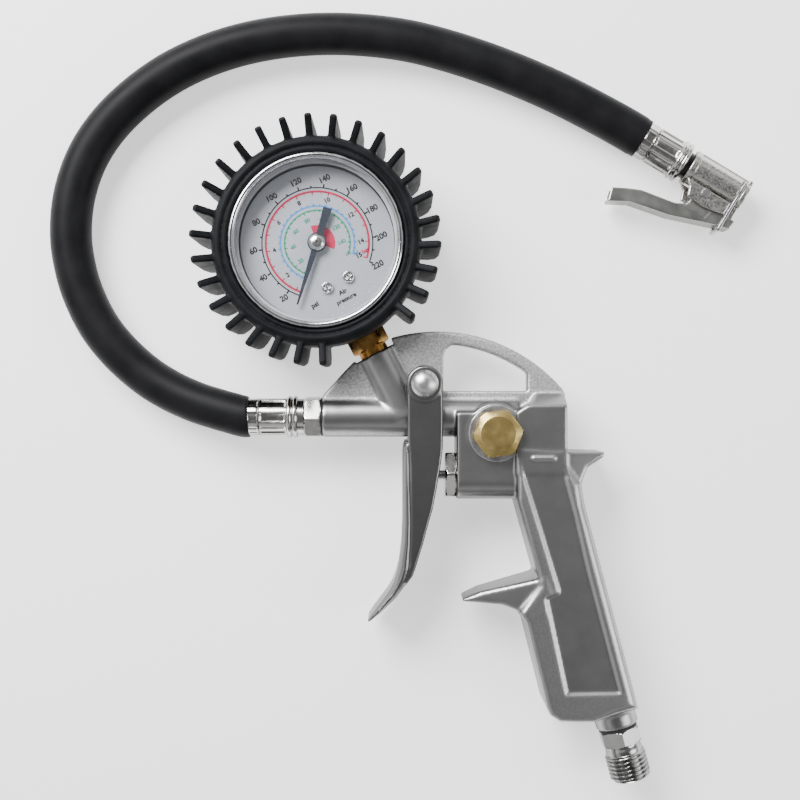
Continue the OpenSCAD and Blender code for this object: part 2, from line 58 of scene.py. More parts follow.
PIVOT_Y = 10.6
BARREL_R = 6.45
VALVE_Y = -18.7
HANDLE_HALF = 11.5
PANEL_HALF = 10.8
BLOCK_HALF = 9.5
WEB_HALF = 3.2
LOBE_R = 5.6
FLANK_HALF = 9.7
HUB_HALF = 10.1
FRONT_HALF = 10.3
RIVET_R = 2.5
RIVET_HALF = 10.2
HEX_CHAMFER_SLOPE = 1.7
LEDGE_Y = 3.8
LEDGE_SLOPE = 2.0
PANEL_STEP_SLOPE = 0.64
PLUG_FLATS = 14
PLUG_BOSS_R = 9.6
PLUG_BORE_R = 5
GAUGE_BOSS_FACE = 38.5
GAUGE_BOSS_R = 6.7
BOSS_DRAFT = 0.01
SOCKET_R = 7.3
INLET_BOSS_R = 6.8
OUTLET_R = 4.9
CHUCK_BORE_R = 4.15
PRINT_Z = 12.05
PRINT_DEPTH = 0.05
FLOOR_Z = -0.0004
HOSE_R = 6.7
CHUCK_TILT = math.radians(-31)
INLET_TURN = math.radians(-75)
GAUGE_TURN = math.radians(27.5)
PLUG = (22.7, -5.1)
INLET = (62.2, -99.1)
GAUGE = (-33.6, 54.4)
CHUCK = (71.5, 90.6, -4.8)
LEVER_PIN = (26.1, -6)
LEVER_HALF = 3.85
LEVER_INNER_HALF = 3.05
CHUCK_START, CHUCK_END = 17.4, 38
CAMERA = (-7.8, 5.4, 371)

PIVOT_ROW = Vector(JOINTS["trigger_hinge"]["pos_m"])
DESIGN_ORIGIN = PIVOT_ROW - Vector((0, PIVOT_Y * MM, 0))


def to_row(x, y, z=0.0):
    """A point in design millimetres as a point in the row frame, in metres."""
    return DESIGN_ORIGIN + Vector((x, y, z)) * MM


def placement(x, y, z=0.0, turn=0.0):
    """Matrix from a local frame in millimetres, turned about Z, to the row frame."""
    return Matrix.Translation(to_row(x, y, z)) @ Matrix.Rotation(turn, 4, "Z") @ Matrix.Scale(MM, 4)


AT_GUN = placement(0, 0)
AT_GAUGE = placement(*GAUGE, 0, GAUGE_TURN)
AT_CHUCK = placement(*CHUCK, CHUCK_TILT)
AT_INLET = placement(*INLET, 0, INLET_TURN)
AT_VALVE = placement(0, VALVE_Y)
ALONG_X = Matrix.Rotation(math.pi / 2, 4, "Y")
ALONG_MINUS_Y = Matrix.Rotation(math.pi / 2, 4, "X")

# ---- Camera ----

camera_data = bpy.data.cameras.new("camera")
camera_data.sensor_width = 36
camera_data.lens = 51.75
camera_data.clip_start = 0.01
camera = bpy.data.objects.new("camera", camera_data)
camera.location = to_row(*CAMERA)
bpy.context.collection.objects.link(camera)
bpy.context.scene.camera = camera

# ---- Materials ----


class Paint:
    """A node material with a Principled shader and a few short cuts."""

    def __init__(self, name, **values):
        self.material = bpy.data.materials.new(name)
        self.material.use_nodes = True
        self.tree = self.material.node_tree
        self.shader = self.tree.nodes["Principled BSDF"]
        for socket, value in values.items():
            self.shader.inputs[socket.replace("_", " ")].default_value = value
        self.coords = self.add("ShaderNodeTexCoord").outputs["Object"]

    def add(self, kind, **sockets):
        node = self.tree.nodes.new(kind)
        for socket, value in sockets.items():
            node.inputs[socket.replace("_", " ")].default_value = value
        return node

    def link(self, start, end):
        self.tree.links.new(start, end)

    def noise(self, scale, detail, stretch=(1, 1, 1)):
        """Noise whose scale is in cycles per metre."""
        mapping = self.add("ShaderNodeMapping")
        mapping.inputs["Scale"].default_value = stretch
        noise = self.add("ShaderNodeTexNoise", Scale=scale, Detail=detail)
        self.link(self.coords, mapping.inputs["Vector"])
        self.link(mapping.outputs["Vector"], noise.inputs["Vector"])
        return noise.outputs["Fac"]

    def ramp(self, source, stops):
        ramp = self.add("ShaderNodeValToRGB").color_ramp
        ramp.elements[0].position, ramp.elements[0].color = stops[0]
        ramp.elements[1].position, ramp.elements[1].color = stops[-1]
        for position, color in stops[1:-1]:
            ramp.elements.new(position).color = color
        node = self.tree.nodes[-1]
        self.link(source, node.inputs["Fac"])
        return node.outputs["Color"]

    def spread(self, source, low, high, start, end):
        """Maps start to end of a value to low to high."""
        node = self.add("ShaderNodeMapRange")
        for socket, value in zip(("From Min", "From Max", "To Min", "To Max"), (start, end, low, high)):
            node.inputs[socket].default_value = value
        self.link(source, node.inputs["Value"])
        return node.outputs["Result"]

    def maths(self, operation, a, b=0.0):
        node = self.add("ShaderNodeMath")
        node.operation = operation
        self.link(a, node.inputs[0])
        if isinstance(b, float):
            node.inputs[1].default_value = b
        else:
            self.link(b, node.inputs[1])
        return node.outputs["Value"]

    def facing(self, share):
        """1 on faces turned up or down, and share on upright faces."""
        normal = self.add("ShaderNodeSeparateXYZ")
        self.link(self.add("ShaderNodeNewGeometry").outputs["Normal"], normal.inputs["Vector"])
        return self.spread(self.maths("ABSOLUTE", normal.outputs["Z"]), share, 1.0, 0.15, 0.75)

    def dull_sides(self, color, share):
        """Darkens a colour on upright faces: a painted shade on the sides."""
        scale = self.add("ShaderNodeVectorMath")
        scale.operation = "SCALE"
        self.link(color, scale.inputs[0])
        self.link(self.facing(share), scale.inputs["Scale"])
        self.link(scale.outputs["Vector"], self.shader.inputs["Base Color"])

    def color(self, source, stops):
        self.link(self.ramp(source, stops), self.shader.inputs["Base Color"])

    def roughness(self, source, low, high, start=0.3, end=0.7):
        self.link(self.spread(source, low, high, start, end), self.shader.inputs["Roughness"])

    def bump(self, source, height, strength):
        """A bump whose height is in metres."""
        node = self.add("ShaderNodeBump", Distance=height, Strength=strength)
        self.link(source, node.inputs["Height"])
        self.link(node.outputs["Normal"], self.shader.inputs["Normal"])


def tint(red, green, blue):
    return (red, green, blue, 1.0)


def grey(value):
    return tint(value, value, value)


def cast_metal(name, shade):
    """Satin die-cast alloy: smooth flat faces, lighter and sandy on the thin web and the handle's border."""
    paint = Paint(name, Metallic=1.0)
    depth = paint.add("ShaderNodeSeparateXYZ")
    paint.link(paint.coords, depth.inputs["Vector"])
    offset = paint.maths("ABSOLUTE", paint.maths("SUBTRACT", depth.outputs["Z"], DESIGN_ORIGIN.z))
    web = paint.spread(offset, 1.0, 0.0, (WEB_HALF + 0.4) * MM, (WEB_HALF + 1.2) * MM)
    border = paint.spread(offset, 0.0, 0.25, (PANEL_HALF + 0.3) * MM, (HANDLE_HALF - 0.1) * MM)
    web = paint.maths("MAXIMUM", web, border)
    web = paint.maths("MULTIPLY", web, paint.facing(0.0))
    cloud = paint.noise(160, 5)
    smooth = paint.ramp(cloud, [(0.3, grey(shade * 0.93)), (0.7, grey(shade * 1.07))])
    sandy = paint.ramp(paint.noise(1300, 2), [(0.35, grey(0.46)), (0.65, grey(0.74))])
    mix = paint.add("ShaderNodeMix")
    mix.data_type = "RGBA"
    paint.link(web, mix.inputs["Factor"])
    paint.link(smooth, mix.inputs[6])
    paint.link(sandy, mix.inputs[7])
    # Upright faces keep 0.28 of the colour: a painted shade on the sides.
    paint.dull_sides(mix.outputs[2], 0.28)
    paint.roughness(web, 0.33, 0.5, 0.0, 1.0)
    paint.bump(paint.noise(900, 3), 0.00006, 0.35)
    return paint.material


def coat(name, grain, dark, light, rough, bump=None, sides=None, ends=(0.3, 0.7), **shader):
    """A material with one noise for its colour and roughness, and a finer one for its bump.

    grain is that noise's scale and detail, bump is a noise, a height in metres and a strength, and sides is
    the share of brightness left on upright faces, a painted shade.
    """
    paint = Paint(name, **shader)
    cloud = paint.noise(*grain)
    stops = [(ends[0], tint(*dark)), (ends[1], tint(*light))]
    # Upright faces get a painted shade when sides is given.
    if sides:
        paint.dull_sides(paint.ramp(cloud, stops), sides)
    else:
        paint.color(cloud, stops)
    paint.roughness(cloud, *rough)
    if bump:
        fine, height, strength = bump
        paint.bump(paint.noise(*fine), height, strength)
    return paint.material


def metal(*args, **values):
    return coat(*args, Metallic=1.0, **values)


def dial_paint():
    """Satin silver paint of the dial, with a very fine sparkle."""
    paint = Paint("dial_paint", Metallic=0.15, Specular_IOR_Level=0.4)
    paint.color(paint.noise(2500, 2), [(0.3, tint(0.34, 0.36, 0.40)), (0.7, tint(0.39, 0.41, 0.45))])
    paint.roughness(paint.noise(600, 2), 0.4, 0.5)
    return paint.material


def ink(name, red, green, blue):
    """Printed ink with slightly uneven cover."""
    paint = Paint(name, Specular_IOR_Level=0.08, Roughness=0.6)
    lighter = tint(*(value * 1.35 + 0.02 for value in (red, green, blue)))
    paint.color(paint.noise(2500, 3), [(0.35, tint(red, green, blue)), (0.75, lighter)])
    return paint.material


def clear_lens():
    """Clear plastic window: mostly see-through, with a soft gloss."""
    paint = Paint("clear_lens", Roughness=0.04, Specular_IOR_Level=0.4, Alpha=0.015)
    paint.color(paint.noise(60, 2), [(0.3, tint(0.9, 0.93, 0.97)), (0.7, tint(0.96, 0.98, 1.0))])
    paint.material.blend_method = "BLEND"
    return paint.material


def floor_paint():
    paint = Paint("floor_paint", Roughness=0.9, Specular_IOR_Level=0.1, Emission_Strength=0.95)
    paint.shader.inputs["Emission Color"].default_value = grey(1.0)
    paint.color(paint.noise(4, 2), [(0.3, grey(0.9)), (0.7, grey(0.92))])
    return paint.material


CAST = cast_metal("cast_metal", 0.4)
# The trigger's copy of the same alloy, much darker: a painted shade.
CAST_SHADED = cast_metal("cast_metal_shaded", 0.22)
# In the metals below, the number after the bump is how bright upright faces stay: a painted shade.
NICKEL = metal("bright_nickel", (500, 4), (0.64, 0.63, 0.61), (0.74, 0.73, 0.71), (0.13, 0.22),
               ((1100, 3), 0.00003, 0.2), 0.35)
CAST_NICKEL = metal("cast_nickel", (1700, 3), (0.5, 0.49, 0.46), (0.74, 0.73, 0.69), (0.24, 0.38),
                    ((1500, 2), 0.0001, 0.5), 0.35, (0.35, 0.65))
SHEET = metal("sheet_nickel", (150, 3), (0.5, 0.5, 0.47), (0.58, 0.58, 0.55), (0.24, 0.34),
              ((500, 2, (1, 12, 1)), 0.00003, 0.4), 0.3)
# A darker copy of the bright nickel for the inlet nipple, with darkened upright faces: all painted shade.
SHADED_NICKEL = metal("dull_nickel", (400, 4), (0.36, 0.36, 0.355), (0.48, 0.48, 0.475), (0.16, 0.28),
                    sides=0.4)
BRASS = metal("brass", (220, 4), (0.46, 0.34, 0.12), (0.56, 0.43, 0.17), (0.34, 0.44),
              ((1800, 2), 0.00004, 0.35), 0.4)
BRONZE = metal("bronze", (300, 4), (0.3, 0.13, 0.03), (0.72, 0.42, 0.12), (0.22, 0.4),
               ((1500, 2), 0.00005, 0.3))
POLISHED = metal("polished_steel", (200, 3), (0.62, 0.63, 0.65), (0.8, 0.81, 0.83), (0.1, 0.2))
STEEL = metal("plain_steel", (250, 3), (0.38, 0.38, 0.39), (0.55, 0.55, 0.56), (0.28, 0.42))
WASHER = metal("washer_metal", (300, 4), (0.62, 0.62, 0.63), (0.84, 0.84, 0.85), (0.25, 0.4))
# Near-black steel for the chuck's nipple: a painted shade where it sits in a dark gap.
SHADOW_BLACK = metal("blacked_steel", (300, 3), (0.03, 0.03, 0.03), (0.06, 0.06, 0.06), (0.35, 0.5))
BOOT = coat("boot_rubber", (160, 5), (0.005, 0.0055, 0.0065), (0.012, 0.013, 0.015), (0.5, 0.62),
            ((1600, 3), 0.00006, 0.3), ends=(0.3, 0.75), Specular_IOR_Level=0.1)
HOSE = coat("hose_rubber", (120, 5), (0.007, 0.007, 0.008), (0.012, 0.012, 0.0135), (0.4, 0.5),
            ((2200, 3), 0.00005, 0.3), ends=(0.3, 0.75), Specular_IOR_Level=0.08)
SEAL = coat("seal_rubber", (400, 3), (0.012, 0.012, 0.013), (0.03, 0.03, 0.032), (0.5, 0.7),
            Specular_IOR_Level=0.3)
PALE = coat("pale_rubber", (300, 3), (0.4, 0.41, 0.43), (0.48, 0.49, 0.51), (0.5, 0.65),
            Specular_IOR_Level=0.3)
DIAL = dial_paint()
INK_BLACK = ink("ink_black", 0.004, 0.005, 0.009)
INK_RED = ink("ink_red", 0.42, 0.004, 0.05)
INK_BLUE = ink("ink_blue", 0.05, 0.22, 0.5)
INK_GREEN = ink("ink_green", 0.01, 0.24, 0.13)
NEEDLE = ink("needle_paint", 0.004, 0.009, 0.02)
LENS = clear_lens()

# ---- Mesh helpers ----


def mesh_object(name, points, quads, material, matrix):
    """An object from arrays of points and of quad or triangle corners, placed by its vertices."""
    mesh = bpy.data.meshes.new(name)
    points = np.asarray(points, dtype=np.float64)
    quads = np.asarray(quads, dtype=np.int32)
    sides = quads.shape[1]
    mesh.vertices.add(len(points))
    placed = np.c_[points, np.ones(len(points))] @ np.array(matrix).T
    mesh.vertices.foreach_set("co", placed[:, :3].astype(np.float32).ravel())
    mesh.loops.add(quads.size)
    mesh.loops.foreach_set("vertex_index", quads.ravel())
    mesh.polygons.add(len(quads))
    mesh.polygons.foreach_set("loop_start", np.arange(0, quads.size, sides, dtype=np.int32))
    mesh.polygons.foreach_set("use_smooth", np.full(len(quads), True))
    mesh.update(calc_edges=True)
    mesh.validate()
    mesh.materials.append(material)
    piece = bpy.data.objects.new(name, mesh)
    bpy.context.collection.objects.link(piece)
    return piece


def finish_piece(piece, body, slot, *nodes):
    """Rides a piece on its body and hides the CAD nodes that it stands for; slot is not used."""
    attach(piece, body)
    if nodes:
        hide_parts(*nodes)
    return piece


# ---- Signed distance fields ----


class Field:
    """Sample points of a box, in millimetres, for signed distances that are negative inside."""

    def __init__(self, low, high, step):
        self.step = step * COARSE
        self.low = np.array(low, dtype=float)
        axes = [np.arange(a, b + self.step, self.step) for a, b in zip(low, high)]
        self.x, self.y, self.z = np.meshgrid(*axes, indexing="ij", sparse=True)


def polygon(x, y, points):
    """Signed distance to a closed polygon."""
    near = np.full(np.broadcast(x, y).shape, np.inf)
    inside = np.zeros(near.shape, dtype=bool)
    for (ax, ay), (bx, by) in zip(points, points[1:] + points[:1]):
        ex, ey = bx - ax, by - ay
        along = np.clip(((x - ax) * ex + (y - ay) * ey) / (ex * ex + ey * ey), 0, 1)
        near = np.minimum(near, (x - ax - ex * along) ** 2 + (y - ay - ey * along) ** 2)
        if ay != by:
            inside ^= ((ay > y) != (by > y)) & (x < (y - ay) * ex / ey + ax)
    return np.where(inside, -1, 1) * np.sqrt(near)


def rounded(a, b, radius):
    """Intersection of two distances with a rounded edge."""
    a, b = a + radius, b + radius
    return np.minimum(np.maximum(a, b), 0) + np.hypot(np.maximum(a, 0), np.maximum(b, 0)) - radius


def join(a, b, blend):
    """Union with a fillet."""
    share = np.clip(0.5 + 0.5 * (b - a) / blend, 0, 1)
    return b + (a - b) * share - blend * share * (1 - share)


def cut(a, b, blend):
    """Takes b away from a, with a rounded edge."""
    return -join(-a, b, blend)


def arc(cx, cy, radius, start, end, steps):
    angles = np.radians(np.linspace(start, end, steps + 1))
    return [(cx + radius * math.cos(a), cy + radius * math.sin(a)) for a in angles]


CORNERS = np.array([(i, j, k) for i in (0, 1) for j in (0, 1) for k in (0, 1)])
EDGES = [(a, b) for a in range(8) for b in range(a + 1, 8) if abs(CORNERS[a] - CORNERS[b]).sum() == 1]


def surface(name, field, distance, material, matrix, keep=1.0):
    """The zero surface of a field's distances as a smooth mesh of quads."""
    distance = np.ascontiguousarray(distance)
    inside = distance < 0
    shape = np.array(distance.shape)
    count = np.zeros(shape - 1, dtype=np.int8)
    for i, j, k in CORNERS:
        count += inside[i:shape[0] - 1 + i, j:shape[1] - 1 + j, k:shape[2] - 1 + k]
    cells = np.argwhere((count > 0) & (count < 8))
    number = np.full(shape - 1, -1, dtype=np.int32)
    number[tuple(cells.T)] = np.arange(len(cells))
    values = np.stack([distance[tuple((cells + corner).T)] for corner in CORNERS], axis=1)
    total = np.zeros((len(cells), 3))
    crossings = np.zeros(len(cells))
    for a, b in EDGES:
        va, vb = values[:, a], values[:, b]
        crossed = (va < 0) != (vb < 0)
        part = np.where(crossed, va / np.where(crossed, va - vb, 1), 0)
        total += crossed[:, None] * (CORNERS[a] + (CORNERS[b] - CORNERS[a]) * part[:, None])
        crossings += crossed
    points = cells + total / crossings[:, None]
    points = settle(distance, points)
    faces = []
    for axis in range(3):
        u, v = (axis + 1) % 3, (axis + 2) % 3
        first = np.take(inside, np.arange(shape[axis] - 1), axis)
        second = np.take(inside, np.arange(1, shape[axis]), axis)
        edges = np.argwhere(first != second)
        edges = edges[(edges[:, u] > 0) & (edges[:, v] > 0)]
        edges = edges[(edges[:, u] < shape[u] - 1) & (edges[:, v] < shape[v] - 1)]
        ring = []
        for du, dv in ((-1, -1), (0, -1), (0, 0), (-1, 0)):
            cell = edges.copy()
            cell[:, u] += du
            cell[:, v] += dv
            ring.append(number[tuple(cell.T)])
        ring = np.stack(ring, axis=1)
        flip = ~first[tuple(edges.T)]
        ring[flip] = ring[flip][:, ::-1]
        faces.append(ring)
    points = field.low + points * field.step
    piece = mesh_object(name, points, np.concatenate(faces), material, matrix)
    if keep < 1.0 and COARSE == 1.0:
        thin(piece, keep)
    return piece


def settle(distance, points, rounds=2):
    """Moves points onto the zero surface along the gradient."""
    for _ in range(rounds):
        base = np.clip(points.astype(int), 0, np.array(distance.shape) - 2)
        part = points - base
        near = [distance[tuple((base + corner).T)] for corner in CORNERS]
        weights = [np.prod(np.where(corner, part, 1 - part), axis=1) for corner in CORNERS]
        value = sum(n * w for n, w in zip(near, weights))
        slope = np.zeros_like(points)
        for axis in range(3):
            rest = [b for b in range(3) if b != axis]
            for corner, n in zip(CORNERS, near):
                side = np.prod(np.where(corner[rest], part[:, rest], 1 - part[:, rest]), axis=1)
                slope[:, axis] += n * side * (1 if corner[axis] else -1)
        length = np.maximum((slope ** 2).sum(axis=1), 1e-6)
        move = np.clip(value / length, -0.6, 0.6)
        points = points - slope * move[:, None]
    return points


def thin(piece, keep):
    """Decimates a piece to a share of its faces."""
    piece.modifiers.new("decimate", "DECIMATE").ratio = keep
    depsgraph = bpy.context.evaluated_depsgraph_get()
    mesh = bpy.data.meshes.new_from_object(piece.evaluated_get(depsgraph))
    piece.modifiers.clear()
    piece.data = mesh


# ---- Turned pieces ----


def loft(name, rows, closed, material, matrix):
    """Quads between rings of points, and from the last ring back to the first if closed."""
    segments = len(rows[0])
    ring = np.arange(segments)
    after = (ring + 1) % segments
    quads = []
    for i in range(len(rows) if closed else len(rows) - 1):
        a, b = i * segments, (i + 1) % len(rows) * segments
        quads.append(np.c_[a + ring, a + after, b + after, b + ring])
    return mesh_object(name, np.concatenate(rows), np.concatenate(quads), material, matrix)


def clean(piece, cap=False, flatten=False):
    """Merges doubled points, closes open ends or drops empty faces, and turns faces outward."""
    work = bmesh.new()
    work.from_mesh(piece.data)
    bmesh.ops.remove_doubles(work, verts=work.verts, dist=WELD)
    if cap:
        bmesh.ops.holes_fill(work, edges=[e for e in work.edges if e.is_boundary], sides=0)
    if flatten:
        bmesh.ops.dissolve_degenerate(work, edges=work.edges, dist=WELD)
    bmesh.ops.recalc_face_normals(work, faces=work.faces)
    work.to_mesh(piece.data)
    work.free()


def sharpen(piece, degrees):
    """Smooth shading with sharp edges above an angle."""
    piece.data.shade_smooth()
    piece.data.set_sharp_from_angle(angle=math.radians(degrees))


def circle(radius, height, angles):
    return np.c_[radius * np.cos(angles), radius * np.sin(angles), np.full(len(angles), height)]


def turned(name, stations, radius, material, matrix, segments=96, bore=None, smooth_angle=SMOOTH_ANGLE):
    """A closed piece round the local Z axis. radius(s, angles) is its outer radius; bore is its inner one."""
    angles = np.linspace(0, 2 * math.pi, segments, endpoint=False)
    rows = [circle(radius(s, angles) * np.ones(segments), s, angles) for s in stations]
    if bore:
        rows += [circle(bore, s, angles) for s in stations[::-1]]
        rows.append(rows[0])
    piece = loft(name, rows, False, material, matrix)
    clean(piece, cap=not bore)
    sharpen(piece, smooth_angle)
    return piece


def lathe(name, profile, material, matrix, segments=160):
    """A closed (radius, height) profile turned round the local Z axis."""
    angles = np.linspace(0, 2 * math.pi, segments, endpoint=False)
    piece = loft(name, [circle(r, h, angles) for r, h in profile], True, material, matrix)
    clean(piece, flatten=True)
    sharpen(piece, SMOOTH_ANGLE)
    return piece


def hexagon(flats, angles, twist=0.0):
    """Radius of a hexagonal bar at each angle."""
    folded = (angles - twist) % (math.pi / 3) - math.pi / 6
    return flats / 2 / np.cos(folded)


def steps(*spans):
    """Stations from (start, end, count) spans."""
    return np.concatenate([np.linspace(*span) for span in spans])


# ---- Hose ----

ROUTE = [
    (-56.4, 0.1, 0), (-58.2, 0.1, 0), (-62, 1.1, -0.5), (-67, 2.5, -1.3), (-74, 4.7, -2.4),
    (-82, 8.2, -3.6), (-90, 13, -4.5), (-98, 19.8, -4.8), (-105, 28, -4.8), (-110, 37, -4.8),
    (-113.5, 47, -4.8), (-115.3, 59, -4.8), (-114.2, 72, -4.8), (-110, 84.5, -4.8), (-102.8, 95.5, -4.8),
    (-93, 105, -4.8), (-82, 112.6, -4.8), (-70, 118.2, -4.8), (-57.5, 122, -4.8), (-44.5, 124.2, -4.8),
    (-31.5, 125, -4.8), (-18.5, 124.5, -4.8), (-5.5, 122.8, -4.8), (7, 119.7, -4.8), (19.5, 115.7, -4.8),
    (31.7, 111, -4.8), (43.7, 105.7, -4.8), (55.3, 99.8, -4.8), (65.41, 94.26, -4.8), (71.41, 90.65, -4.8),
]


def spline(points, per_span):
    """Smooth curve through points (Catmull-Rom)."""
    p = np.array(points, dtype=float)
    p = np.vstack([2 * p[0] - p[1], p, 2 * p[-1] - p[-2]])
    t = np.linspace(0, 1, per_span, endpoint=False)[:, None]
    spans = []
    for a, b, c, d in zip(p, p[1:], p[2:], p[3:]):
        spans.append(0.5 * (2 * b + (c - a) * t + (2 * a - 5 * b + 4 * c - d) * t ** 2
                            + (3 * b - a - 3 * c + d) * t ** 3))
    return np.concatenate(spans + [p[-2:-1]])


def hose():
    """Rubber hose: one smooth curve through the route, a little fuller than the ferrules that grip it."""
    path = spline(ROUTE, 6)
    curve = bpy.data.curves.new("hose_tube", "CURVE")
    curve.dimensions = "3D"
    line = curve.splines.new("POLY")
    line.points.add(len(path) - 1)
    for point, place in zip(line.points, path):
        point.co = (*to_row(*place), 1)
    for index in (0, 1, len(path) - 2, len(path) - 1):
        line.points[index].radius = 0.97
    line.use_smooth = True
    curve.bevel_depth = HOSE_R * MM
    curve.bevel_resolution = 12
    curve.use_fill_caps = True
    curve.materials.append(HOSE)
    piece = bpy.data.objects.new("hose_tube", curve)
    bpy.context.collection.objects.link(piece)
    finish_piece(piece, "root", "hose_rubber", "hose")
    length = np.linalg.norm(np.diff(path, axis=0), axis=1).sum() * MM
    return piece, round(float(length), 3)


hose_tube, hose_length = hose()

# ---- Gun ----

ARCH = (4, -25.8)
ARCH_OUTLINE = [(44.8, -2), (44.8, 7.5), *arc(*ARCH, 53.2, 40.6, 106, 20), (-12.2, 24.5), (-21.7, 18.6),
                (-25.7, 14.5), (-29.6, 10.1), (-32.6, 6.8), (-32.6, -2)]
WINDOW = [(6.1, 8.3), (33, 8.3), (33, 13.5), *arc(*ARCH, 49.3, 54.5, 82, 10), (8.7, 23.1), (6.9, 21.6),
          (6.1, 19.2)]
HANDLE = [(28.9, -10), (28.9, -26.1), (35.4, -49.5), (36.2, -52.6), (29.6, -61.4), (31.6, -64.5),
          (38.3, -91.4), (39.4, -93.6), (42.5, -95.6), (53.2, -95.9), (67.2, -91.8), (66.4, -88.2),
          (59.6, -62.4), (50.3, -26.9), (49.3, -20.4), (44.8, -14), (44.8, -10)]
PANEL = [(29.2, 4), (29.6, -12.6), (36, -33), (42.5, -54.4), (42.2, -55.6), (38.7, -57.1), (44.9, -86.2),
         (60.6, -85.8), (50.6, -48), (46.9, -31.8), (43.7, -19.5), (43.6, -12), (43.6, 4)]
BLOCK = [(10.1, -26.1), (10.1, 1.6), (34, 1.6), (34, -26.1)]
PLATE = [(28.6, 1.5), (28.6, -18), (44.8, -18), (44.8, 8.3), (36, 8.3), (33.5, 4.4), (31.8, 3.6),
         (30.2, 2.6)]
SPUR = [(38, -50), (17.4, -55.3), (12.1, -57.7), (12.1, -58.7), (24.5, -59.4), (29.3, -61.1), (33, -65),
        (42, -60)]
TAIL = [(44, -10.7), (56.7, -11), (56.3, -12.6), (51.2, -15.9), (49.4, -20.4), (44, -24)]


def slab(f, outline, half, radius):
    """A plate centred on the mid-plane, with rounded edges. half may vary over x and y."""
    return rounded(polygon(f.x, f.y, outline), np.abs(f.z) - half, radius)


def turned_frame(x, y, centre, turn):
    """Coordinates about a centre, along axes turned from X and Y."""
    x, y = x - centre[0], y - centre[1]
    return x * math.cos(turn) + y * math.sin(turn), -x * math.sin(turn) + y * math.cos(turn)


def casting():
    """The die-cast body, as fields joined by fillets."""
    f = Field((-34.5, -107, -12.1), (69, 29.5, 12.1), 0.5)
    x, y, z = f.x, f.y, f.z
    across, along = turned_frame(x, y, GAUGE, GAUGE_TURN)
    inlet_s, inlet_t = turned_frame(x, y, INLET, INLET_TURN)
    from_plug = np.hypot(x - PLUG[0], y - PLUG[1])

    arch = cut(slab(f, ARCH_OUTLINE, WEB_HALF, 0.7), polygon(x, y, WINDOW), 0.5)
    arch = cut(arch, np.maximum(np.hypot(across, z) - SOCKET_R, -GAUGE_BOSS_FACE - along), 0.2)
    barrel = rounded(np.hypot(y, z) - BARREL_R, np.abs(x + 1.3) - 31.3, 0.5)
    boss_r = GAUGE_BOSS_R - BOSS_DRAFT * (along + GAUGE_BOSS_FACE)
    boss = rounded(np.hypot(across, z) - boss_r, np.abs(along + 50) - 11.5, 0.6)
    body = join(join(arch, boss, 0.45), barrel, 0.9)

    section = rounded(np.abs(z) - BLOCK_HALF, np.abs(y + 2) - 24.1, 6)
    block = np.maximum(slab(f, BLOCK, BLOCK_HALF, 0.8), section)
    ledge = PANEL_HALF - LEDGE_SLOPE * np.maximum(y - LEDGE_Y, 0)
    plate = slab(f, PLATE, ledge, 0.7)
    boss_ring = rounded(from_plug - PLUG_BOSS_R, np.maximum(z - BLOCK_HALF, -z), 0.4)
    body = join(body, join(join(block, plate, 0.8), boss_ring, 0.4), 0.9)

    back = np.clip((x + 0.25 * y - 25) / 12, 0, 1)
    handle = slab(f, HANDLE, HANDLE_HALF, 1.7 + 1.6 * back)
    tail = slab(f, TAIL, 10.6 - 0.1 * np.maximum(x - 46, 0), 0.9)
    spur = slab(f, SPUR, np.minimum(6.2 + 0.2 * (x - 12), 11.3), 1.3)
    grip = join(join(handle, tail, 0.8), spur, 1.2)
    beside = np.maximum(polygon(x, y, PANEL), 0)
    grip = cut(grip, PANEL_HALF + PANEL_STEP_SLOPE * beside - np.abs(z), 0.25)
    body = join(body, grip, 1.0)

    boss = rounded(np.hypot(inlet_t, z) - INLET_BOSS_R, np.abs(inlet_s + 6) - 6, 0.5)
    body = join(body, boss, 2.0)
    bar = np.hypot(np.maximum(np.abs(x - 37.2) - 3.2, 0), y + 12.9)
    body = join(body, np.hypot(bar, np.maximum(np.abs(z) - PANEL_HALF, 0)) - 0.75, 0.3)

    body = cut(body, np.maximum(from_plug - PLUG_BORE_R, -2 - z), 0.2)
    body = cut(body, np.maximum(np.hypot(y, z) - OUTLET_R, x + 20), 0.2)
    piece = surface("gun_casting", f, body, CAST, AT_GUN)
    return finish_piece(piece, "root", "cast_metal", "body_casting")


FLANK = [(-5.6, 0), (-5.4, -17), (-4.8, -26), (-4.6, -45), (-5, -57), (-7, -62.4), (-5.6, -63.2),
         (-3.7, -60.6), (-2.6, -57.4), (-0.5, -50.6), (1.4, -43.6), (2.6, -39.5), (3.8, -33), (5.1, -25.4),
         (5.7, -20.4), (5.8, -11), (5.6, 0)]
FRONT = [(-6.4, -18), (-6.9, -19.4), (-7.1, -22), (-7.1, -43), (-7.4, -50.6), (-8.3, -57.5), (-9.1, -60.6),
         (-10, -63.1), (-11.3, -65.6), (-13.1, -68.1), (-15, -70.6), (-16.9, -73.2), (-18.2, -75.1),
         (-17.6, -75.5), (-14.1, -72.7), (-11.6, -70.3), (-9.1, -67.9), (-7.2, -65.4), (-5.3, -62.7),
         (-4.1, -59), (-3.6, -52), (-3.4, -44), (-3.9, -30), (-4.2, -18)]
HOLLOW = [(-4, -9), (-3.9, -30), (-3.4, -44), (-3.6, -52), (-4.2, -60), (8, -60), (12, -20), (12, 12),
          (-12, 12), (-12, -9)]


